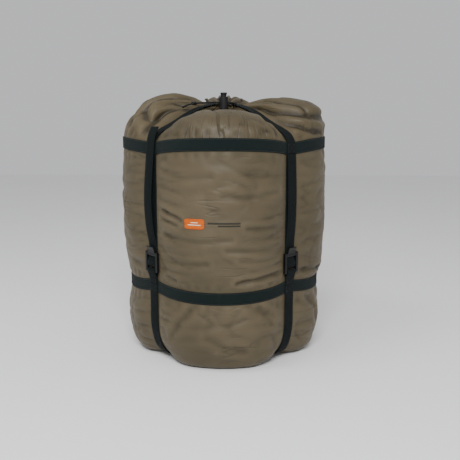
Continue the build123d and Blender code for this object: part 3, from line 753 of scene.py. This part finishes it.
def crumple(points, shares):
    """Lays the wrinkles, the pleats of the crown and the folds that stand out over a smooth skin."""
    normals = grid_normals(points)
    crown_start = ROWS["crown"][0]
    bands = list(range(ROWS["low_band"][0], ROWS["low_band"][1] + 1))
    bands += list(range(ROWS["high_band"][0], ROWS["high_band"][1] + 1))
    push = np.zeros(shares.shape)
    for row in range(ROW_COUNT):
        clear = min(abs(row - band) for band in bands)
        for column in range(COLUMNS):
            azimuth = 360 * column / COLUMNS - 90
            x, y, z = points[row, column]
            share = shares[row, column]
            r = hypot(x, y)
            amount = wrinkle(azimuth, r, z, share)
            if row > crown_start:
                lying = clamp(normals[row, column, 2])
                amount = amount * (1 - 0.8 * lying) + gathers(azimuth, r, share)
            off_floor = clamp((z - 1.0) / 14)
            puckers = sin(radians(azimuth) * 47 + 3 * sin(radians(azimuth * 7)))
            seam = 0.9 * puckers * exp(-((clear - 2.2) / 1.6) ** 2) * min(share * 2, 1)
            push[row, column] = (amount * min(clear / 4, 1) + (seam if clear else 0)) * off_floor
    creased = points + normals * push[..., None]
    loose = np.clip(shares * 2, 0, 1)[..., None]
    for line, depth, width in CREASES:
        creased += (crease(creased, normals, line, depth, width) - creased) * loose
    creased[bands] = points[bands]
    flat = shares < 0.02
    creased[flat] = points[flat]
    creased[..., 2] = np.maximum(creased[..., 2], FLOOR_GAP)
    # how deep each point is pressed in, less its local average below: it sets the painted shade and painted
    # highlight of the nylon's folds
    depth = -((creased - points) * normals).sum(axis=2)
    level = depth
    for step in range(6):
        level = (level + np.roll(level, 1, axis=1) + np.roll(level, -1, axis=1)) / 3
        level[1:-1] = (level[:-2] + level[1:-1] + level[2:]) / 3
    return creased, depth - level


def skin_uvs(points, rows):
    """Flat size of the cloth in tenths of a metre, for the weave; it starts under the rear left strap."""
    along = distances(points[:, 0])
    first = COLUMNS * 5 // 8
    around = [(column - first) % COLUMNS * GIRTH / COLUMNS / 100 for column in range(COLUMNS)]
    return [(around[column], along[row] / 100) for row in rows for column in range(COLUMNS)]


def join_seam(piece):
    """Where the weave's coordinates start again, carries them on past the end instead."""
    layer = piece.data.uv_layers.active.data
    for face in piece.data.polygons:
        corners = [layer[k].uv for k in face.loop_indices]
        if max(uv[0] for uv in corners) - min(uv[0] for uv in corners) > GIRTH / 200:
            for uv in corners:
                if uv[0] < GIRTH / 200:
                    uv[0] += GIRTH / 100


CLOTH = {"quality": 5, "mass": 0.1, "tension_stiffness": 40, "compression_stiffness": 25,
         "shear_stiffness": 10, "bending_stiffness": 0.15, "air_damping": 6, "use_pressure": True,
         "uniform_pressure_force": 2.0}


def simulate(points, shares):
    """Cloth simulation of the filled sack: a little too much cloth, blown out between straps and bands."""
    flat = points.reshape(-1, 3) * MM
    work = make_object("skin_simulation", flat, grid_faces(ROW_COUNT, COLUMNS, True), NYLON, smooth=False)
    work.shape_key_add(name="Basis")
    cut = work.shape_key_add(name="cut")
    middle = np.array([0, 0, 0.25])
    longer = middle + (flat - middle) * np.array(EXTRA_CLOTH)
    cut.data.foreach_set("co", longer.astype(np.float32).ravel())
    cut.value = 0.0
    pins = work.vertex_groups.new(name="pins")
    low = ROWS["low_band"]
    high = ROWS["high_band"]
    for row in range(ROW_COUNT):
        on_band = low[0] <= row <= low[1] or high[0] <= row <= high[1]
        for column in range(COLUMNS):
            at_end = row > ROW_COUNT - 4 or points[row, column, 2] < 1.5
            held = on_band or at_end or shares[row, column] < 0.03
            pins.add([row * COLUMNS + column], 1.0 if held else 0.0, "REPLACE")
    cloth = work.modifiers.new("cloth", "CLOTH")
    settings = cloth.settings
    for key, value in CLOTH.items():
        setattr(settings, key, value)
    settings.vertex_group_mass = "pins"
    settings.rest_shape_key = cut
    settings.effector_weights.gravity = 0
    cloth.collision_settings.use_collision = False
    scene = bpy.context.scene
    for step in range(SIMULATED_FRAMES):
        scene.frame_set(step + 1)
    graph = bpy.context.evaluated_depsgraph_get()
    mesh = work.evaluated_get(graph).to_mesh()
    result = np.zeros(len(mesh.vertices) * 3, np.float32)
    mesh.vertices.foreach_get("co", result)
    result = result.reshape(ROW_COUNT, COLUMNS, 3) / MM
    scene.frame_set(1)
    bpy.data.objects.remove(work)
    moved = result - points
    length = np.linalg.norm(moved, axis=2, keepdims=True)
    moved = moved * np.minimum(1, SLACK / np.maximum(length, 1e-6))
    result = points + moved
    result[..., 2] = np.maximum(result[..., 2], FLOOR_GAP)
    return result


skin, openness = build_skin()
skin = simulate(skin, openness)
skin, fold_depth = crumple(skin, openness)
skin_normals = grid_normals(skin)


def skin_piece(name, first_row, last_row, material):
    """One part of the cloth, from row to row of the grid."""
    rows = range(first_row, last_row + 1)
    vertices = [skin[row, column] * MM for row in rows for column in range(COLUMNS)]
    faces = grid_faces(len(rows), COLUMNS, True)
    if first_row == 0:
        faces = faces[COLUMNS:]
        centre = len(vertices)
        vertices.append(np.mean(skin[1], axis=0) * MM)
        faces += [(centre, COLUMNS + (k + 1) % COLUMNS, COLUMNS + k) for k in range(COLUMNS)]
    uvs = skin_uvs(skin, rows) + [(0, 0)]
    piece = make_object(name, vertices, faces, material, uvs)
    join_seam(piece)
    depths = [fold_depth[row, column] for row in rows for column in range(COLUMNS)]
    depths += [0.0] * (len(vertices) - len(depths))
    # the fold depth sets the painted shade and painted highlight of the nylon
    piece.data.attributes.new("fold_depth", "FLOAT", "POINT").data.foreach_set("value", depths)
    piece.modifiers.new("smooth", "SUBSURF").levels = 1
    piece.modifiers["smooth"].render_levels = 1
    return piece


split_low = (ROWS["low_band"][0] + ROWS["low_band"][1]) // 2
split_high = ROWS["high_band"][0] + 1

lower = skin_piece("cloth_lower", 0, split_low, NYLON)
attach(lower, "sack", "shell_cloth", "lower_wall", "base_panel")
middle = skin_piece("cloth_middle", split_low, split_high, NYLON)
attach(middle, "sack", "shell_cloth", "middle_wall", "packed_load")
shorten(middle)
crown = skin_piece("cloth_crown", split_high, ROW_COUNT - 1, GATHERED)
attach(crown, "crown", "shell_cloth", "crown_wall")


# ---------------- bands
def band_piece(name, segment, node, body):
    """A band sewn round the cloth along both edges: it follows the lobes and dips in under the straps."""
    start, end = ROWS[segment]
    centre = []
    across = []
    facing = []
    for column in range(COLUMNS):
        bottom = Vector(skin[start, column])
        top = Vector(skin[end, column])
        upward = (top - bottom).normalized()
        normal = Vector(skin_normals[(start + end) // 2, column])
        normal = (normal - upward * normal.dot(upward)).normalized()
        centre.append(((bottom + top) / 2 + normal * 0.95) * MM)
        across.append(-upward)
        facing.append(normal)
    attach(tape(name, centre, across, facing, BAND_TAPE, closed=True), body, "webbing", node)
    lines = []
    for height in (-8.2, 8.2):
        line = [(middle - sideways * (height * MM) + outward * (WEBBING_THICKNESS / 2 * MM), outward)
                for middle, sideways, outward in zip(centre, across, facing)]
        lines.append(line + line[:1])
    stitches(f"{name}_seams", body, lines, 2.6, 0.9)


band_piece("band_lower", "low_band", "lower_band", "sack")
band_piece("band_upper", "high_band", "upper_band", "crown")


# ---------------- straps
def out(distance):
    """Radius at a distance outside the cloth under the straps, all in mm."""
    return STRAP_RADIUS + distance


def mirrored(half):
    """A whole line from the half that runs from one end to the middle of the sack."""
    return half + [(-r, z) for r, z in reversed(half[:-1])]


def base_strap(number, azimuth, base_z):
    """One webbing from anchor loop to anchor loop: down one side, under the base and up the other."""
    loop = [(3.7, -23), (3.8, -13), (5.2, -8), (7.45, -2), (7.6, 0.6), (6.5, 2.3), (4.9, 2.75), (3.2, 2.2),
            (2.25, 0), (2.25, -6)]
    side = [(out(2.3), 140), (out(2.6), 125), (out(2.3), 100), (out(2.2), 66), (158.6, 45), (152, 26),
            (141, 13), (126, base_z + 1.5), (108, base_z), (60, base_z), (0, base_z)]
    half = [(out(distance), PIVOT_Z + height) for distance, height in loop] + side
    piece = strap_tape(f"strap_base_{number}", azimuth, smooth_line(mirrored(half), 1.2))
    attach(piece, "sack", "webbing", f"base_strap_{number}")


base_strap(1, -45, 4.9)
base_strap(2, 45, 3.3)


def top_strap(number, azimuth, lift):
    """Webbing from just under the upper band, over the band, the shoulder and the mouth, and down again."""
    half = [(out(2.3), 353.0), (out(2.5), 362.0), (out(2.4), 371.0), (161.0, 379.0), (151.8, 390.7),
            (135.8, 399.3), (119.2, 406.0), (102.2, 414.3), (82.0, 424.8), (58.6, 434.1), (38.0, 439.2),
            (20.0, 440.9 + lift), (0.0, 441.1 + lift)]
    piece = strap_tape(f"strap_top_{number}", azimuth, smooth_line(mirrored(half), 2.0))
    attach(piece, "crown", "webbing", f"top_strap_{number}")


top_strap(1, -45, 0.0)
top_strap(2, 45, 1.7)


def bowed(t):
    """Sideways shape of the long tail: a bow to one side, then a lean to the other at its end."""
    return -4.5 * sin(pi * min(t / 0.7, 1)) + 5 * max(0, (t - 0.7) / 0.3) ** 1.2


# corner: azimuth, tail from the lock up as (distance off the strap radius, height), sideways lean in mm
CORNERS = {
    "front_right": (-45, [(3.2, 215), (5.2, 235), (7.0, 280), (6.2, 325), (5.0, 358)],
                    lambda t: -1.5 * t * t),
    "rear_right": (45, [(3.2, 215), (6.0, 240), (8.5, 280), (7.0, 328)], lambda t: 3.0 * t * t),
    "rear_left": (135, [(3.2, 215), (6.0, 240), (9.0, 270), (10.0, 298)], lambda t: -3.0 * t * t),
    "front_left": (225, [(3.2, 212), (6.0, 230), (8.5, 270), (8.0, 320), (6.4, 360), (5.2, 380), (2.5, 392),
                         (-2.5, 402)], bowed),
}
# the webbing from the riser down behind the lock, round its middle bar and up to the tail
THREADED = [(1.0, 252), (1.0, 225), (1.0, 205), (1.15, 190), (1.15, 178), (1.3, 172.0), (2.2, 169.3),
            (3.8, 168.4), (5.4, 169.3), (6.5, 172.0), (6.9, 176.0), (6.0, 179.5), (4.4, 183.5), (2.9, 187.0),
            (2.65, 189.5), (2.6, 197)]
TAIL_START_Z = 200.0
RISER_LINE = [(out(1.0), 250), (out(0.9), 290), (out(1.0), 330), (out(1.2), 356)]


def finish_node(name, material):
    """Gives a CAD node its material."""
    for material_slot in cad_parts[name].material_slots:
        material_slot.material = material


for corner, (azimuth, tail, lean) in CORNERS.items():
    line = smooth_line([(out(distance), z) for distance, z in THREADED + tail], 1.2)
    shares = np.linspace(0, 1, len(line))
    start = float(np.argmax((line[:, 1] > TAIL_START_Z) & (shares > 0.3))) / len(line)
    piece = strap_tape(f"strap_end_{corner}", azimuth, line,
                       lambda t, start=start, lean=lean: lean(max(0.0, (t - start) / (1 - start))))
    attach(piece, None, "webbing", f"threaded_webbing_{corner}", f"strap_tail_{corner}")
    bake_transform(piece)

    riser = strap_tape(f"riser_{corner}", azimuth, smooth_line(RISER_LINE, 3.0))
    attach(riser, "sack", "webbing", f"riser_strap_{corner}")
    shorten(riser)
    finish_node(f"ladder_lock_{corner}", GLOSSY)

finish_node("cord_lock_barrel", MATTE)
finish_node("cord_lock_plunger", MATTE)


def coil_spring():
    """The cord lock's spring, as tall as the CAD one."""
    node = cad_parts["cord_lock_spring"]
    heights = [(node.matrix_world @ Vector(corner)).z / MM for corner in node.bound_box]
    bottom = min(heights) + SPRING_WIRE / 2
    height = max(heights) - SPRING_WIRE / 2 - bottom
    steps = SPRING_TURNS * 28
    ring = 8
    vertices = []
    for step in range(steps + 1):
        share = step / steps
        angle = 2 * pi * SPRING_TURNS * share
        outward = radial(degrees(angle))
        centre = outward * SPRING_RADIUS + Vector((*LOCK[:2], bottom + height * share))
        vertices += [point * MM for point in circle(centre, outward, UP, SPRING_WIRE / 2, ring)]
    faces = grid_faces(steps + 1, ring, True)
    faces.append(tuple(range(ring)))
    faces.append(tuple(steps * ring + k for k in reversed(range(ring))))
    spring = make_object("spring_coil", vertices, faces, STEEL)
    attach(spring, "cord_lock", "spring_steel", "cord_lock_spring")
    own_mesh(spring)


coil_spring()


# ---------------- stitching on the straps
BLOCK_WIDTH = 15.0


def boxed_cross(centre, across, upward, normal, width, height):
    """Lines of a sewn box with a cross in it, round a centre in mm."""
    corners = [(centre + across * (u * width / 2) + upward * (v * height / 2)) * MM
               for u, v in ((-1, -1), (1, -1), (1, 1), (-1, 1))]
    pairs = ((0, 1), (1, 2), (2, 3), (3, 0), (0, 2), (3, 1))
    return [[(corners[first], normal), (corners[last], normal)] for first, last in pairs]


def side_blocks(name, node, body, distance, z, height):
    """A sewn block on each strap, at a distance from its radius and a height."""
    lines = []
    for azimuth in STRAP_AZIMUTHS:
        normal = radial(azimuth)
        centre = normal * out(distance) + UP * z
        lines += boxed_cross(centre, tangential(azimuth), UP, normal, BLOCK_WIDTH, height)
    stitches(name, body, lines, 2.2, 0.6, node)


def middle_block(name, node, body, z, normal):
    """The sewn block where the two straps cross, over the mouth or under the base."""
    lines = boxed_cross(UP * z, tangential(45), radial(45), normal, BLOCK_WIDTH, BLOCK_WIDTH)
    stitches(name, body, lines, 2.2, 0.6, node)


side_blocks("sewn_lower_band", "lower_band_stitching", "sack", 3.2, 132.0, 10)
side_blocks("sewn_anchor_loops", "anchor_loop_stitching", "sack", 4.5, 144.0, 5)
side_blocks("sewn_upper_band", "upper_band_stitching", "crown", 3.2, 367.0, 14)
middle_block("sewn_top_cross", "top_cross_stitching", "crown", 443.6, UP)
middle_block("sewn_base_cross", "base_cross_stitching", "sack", 2.5, -UP)


# ---------------- gathered hem round the mouth
HEM_COLUMNS = 360


def pleats(angle):
    """How far the hem's pleats stand out at an angle, from -1 to 1."""
    return sin(34 * angle + 2.5 * sin(5 * angle))


def gathered_hem():
    """The casing of the drawcord, pleated all round, and the cloth that runs down inside it."""
    vertices = []
    uvs = []
    ring = 18
    for column in range(HEM_COLUMNS):
        angle = 2 * pi * column / HEM_COLUMNS
        pleat = pleats(angle)
        pleat_small = sin(71 * angle + 1.3)
        for k in range(ring):
            turn = 2 * pi * k / ring
            fullness = 4.2 + 0.8 * pleat + 0.3 * pleat_small
            r = HEM_RADIUS + fullness * cos(turn) + 0.5 * pleat_small
            z = CORD_Z + fullness * 0.95 * sin(turn) + 0.4 * pleat
            vertices.append(polar(r, angle, z))
            uvs.append((column * 3.1 / 100, k * 1.5 / 100))
    faces = [tuple(reversed(face)) for face in grid_faces(HEM_COLUMNS, ring, True, True)]
    base = len(vertices)
    inside = ((19.5, 433), (15, 429.5), (9, 427), (3, 425.5))
    for row, (r, z) in enumerate(inside):
        for column in range(HEM_COLUMNS):
            angle = 2 * pi * column / HEM_COLUMNS
            vertices.append(polar(r, angle, z + 1.6 * pleats(angle) * (1 - row / 4)))
            uvs.append((column * 3.1 / 100, row * 6 / 100))
    for a, b, c, d in grid_faces(len(inside), HEM_COLUMNS, True):
        faces.append((base + a, base + d, base + c, base + b))
    return make_object("hem_gathered", vertices, faces, SHADED_MOUTH_NYLON, uvs)


def mouth_frill():
    """Edge of the cloth above the drawcord: ruffles that stand up between the straps, flat under them."""
    rows = 8
    vertices = []
    uvs = []
    for row in range(rows + 1):
        rise = row / rows
        for column in range(HEM_COLUMNS):
            angle = 2 * pi * column / HEM_COLUMNS
            free = clamp((abs(sin(2 * angle - pi / 2)) - 0.62) / 0.34)
            free = free * free * (3 - 2 * free)
            if sin(angle) < -0.6:
                free *= 0.55
            ruffle = sin(26 * angle + 2.2 * sin(3 * angle)) + 0.5 * sin(43 * angle + 2)
            r = HEM_RADIUS + 3.2 + 8.0 * rise * (1 - 0.25 * free) + 2.0 * ruffle * rise
            height = free * (14.0 * rise ** 0.8 + 1.4 * sin(9 * angle) * rise)
            z = CORD_Z + 3.4 + height + 0.5 * ruffle * rise
            vertices.append(polar(r, angle, z))
            uvs.append((column * 3.1 / 100, row * 2 / 100))
    frill = make_object("mouth_frill", vertices, grid_faces(rows + 1, HEM_COLUMNS, True), SHADED_MOUTH_NYLON, uvs)
    thickness = frill.modifiers.new("cloth_thickness", "SOLIDIFY")
    thickness.thickness = 0.0009
    thickness.offset = 0
    return frill


attach(gathered_hem(), "crown", "shell_cloth", "mouth_hem")
attach(mouth_frill(), "crown", "shell_cloth")


# ---------------- label and printed bars
FRONT_RADIUS = 184.0
LABEL_X = (-56.0, -23.5)
LABEL_Z = (242.8, 259.2)
LABEL_SEAM = 1.6             # from the label's edge to its stitching
# heights of the upper faces off the cloth, and of all the lower faces
LABEL_LIFT = 0.9
MARK_LIFT = 1.05
PRINT_LIFT = 0.35
UNDERSIDE = 0.02


def skin_at(x, z):
    """Point in mm and normal of the cloth on the front of the belly, at a width and height."""
    column = degrees(asin(x / FRONT_RADIUS)) / 360 * COLUMNS
    left = int(column // 1) % COLUMNS
    right = (left + 1) % COLUMNS
    mix = column % 1
    start, end = ROWS["belly"]
    heights = skin[start:end, left, 2] * (1 - mix) + skin[start:end, right, 2] * mix
    row = start + float(np.interp(z, heights, np.arange(end - start)))
    low = int(row)
    rise = row - low

    def average(grid):
        below = grid[low, left] * (1 - mix) + grid[low, right] * mix
        above = grid[low + 1, left] * (1 - mix) + grid[low + 1, right] * mix
        return Vector(below * (1 - rise) + above * rise)
    return average(skin), average(skin_normals).normalized()


def patch(name, material, slot, x_range, z_range, lift, columns, rows, *nodes, rounded=False):
    """A thin piece laid on the front of the cloth, over a range of x and height in mm."""
    vertices = []
    uvs = []
    for layer_lift in (lift, UNDERSIDE):
        for row in range(rows + 1):
            for column in range(columns + 1):
                u, v = column / columns, row / rows
                x = x_range[0] + (x_range[1] - x_range[0]) * u
                z = z_range[0] + (z_range[1] - z_range[0]) * v
                if rounded:
                    x -= (x - sum(x_range) / 2) * 0.06 * (abs(v - 0.5) * 2) ** 8
                    z -= (z - sum(z_range) / 2) * 0.12 * (abs(u - 0.5) * 2) ** 8
                point, normal = skin_at(x, z)
                vertices.append((point + normal * layer_lift) * MM)
                uvs.append((x / 100, z / 100))
    faces = grid_faces(rows + 1, columns + 1, False)
    size = (rows + 1) * (columns + 1)
    faces += [tuple(size + k for k in reversed(face)) for face in faces]
    grid = np.arange(size).reshape(rows + 1, columns + 1)
    border = np.concatenate([grid[0], grid[1:, -1], grid[-1, -2::-1], grid[-2:0:-1, 0]]).tolist()
    for corner, following in zip(border, border[1:] + border[:1]):
        faces.append((corner, size + corner, size + following, following))
    piece = make_object(name, vertices, faces, material, uvs)
    attach(piece, "sack", slot, *nodes)
    shorten(piece)


patch("label_sewn", LABEL, "label", LABEL_X, LABEL_Z, LABEL_LIFT, 30, 16, "label_patch", rounded=True)
patch("label_motif", LABEL_MARK, "label", (-50.5, -29.0), (248.8, 250.2), MARK_LIFT, 20, 2)
patch("label_motif_two", LABEL_MARK, "label", (-45.8, -33.8), (252.6, 254.0), MARK_LIFT, 14, 2)
patch("print_bar_long", PRINT, "print", (-18.0, 33.0), (251.6, 254.0), PRINT_LIFT, 44, 2, "label_bars")
patch("print_bar_short", PRINT, "print", (-2.0, 33.0), (247.6, 249.8), PRINT_LIFT, 30, 2)

left, right = LABEL_X[0] + LABEL_SEAM, LABEL_X[1] - LABEL_SEAM
low, high = LABEL_Z[0] + LABEL_SEAM, LABEL_Z[1] - LABEL_SEAM
corners = [(left, low), (right, low), (right, high), (left, high)]
border = []
for (x, z), (next_x, next_z) in zip(corners, corners[1:] + corners[:1]):
    line = []
    for share in np.linspace(0, 1, 12):
        point, normal = skin_at(x * (1 - share) + next_x * share, z * (1 - share) + next_z * share)
        line.append(((point + normal * LABEL_LIFT) * MM, normal))
    border.append(line)
shorten(stitches("label_sewing", "sack", border, 1.6, 0.7, radius=0.2))

# ---------------- floor
bpy.ops.mesh.primitive_plane_add(size=8, location=(0, 0, 0))
ground = bpy.context.object
ground.name = "floor"
paper = Shader("pale_floor")
shade = paper.ramp(paper.noise(paper.coordinates("Object"), 3.0), (0, 0.86), (1, 0.9))
ground.data.materials.append(paper.finish(Base_Color=shade, Roughness=0.75))
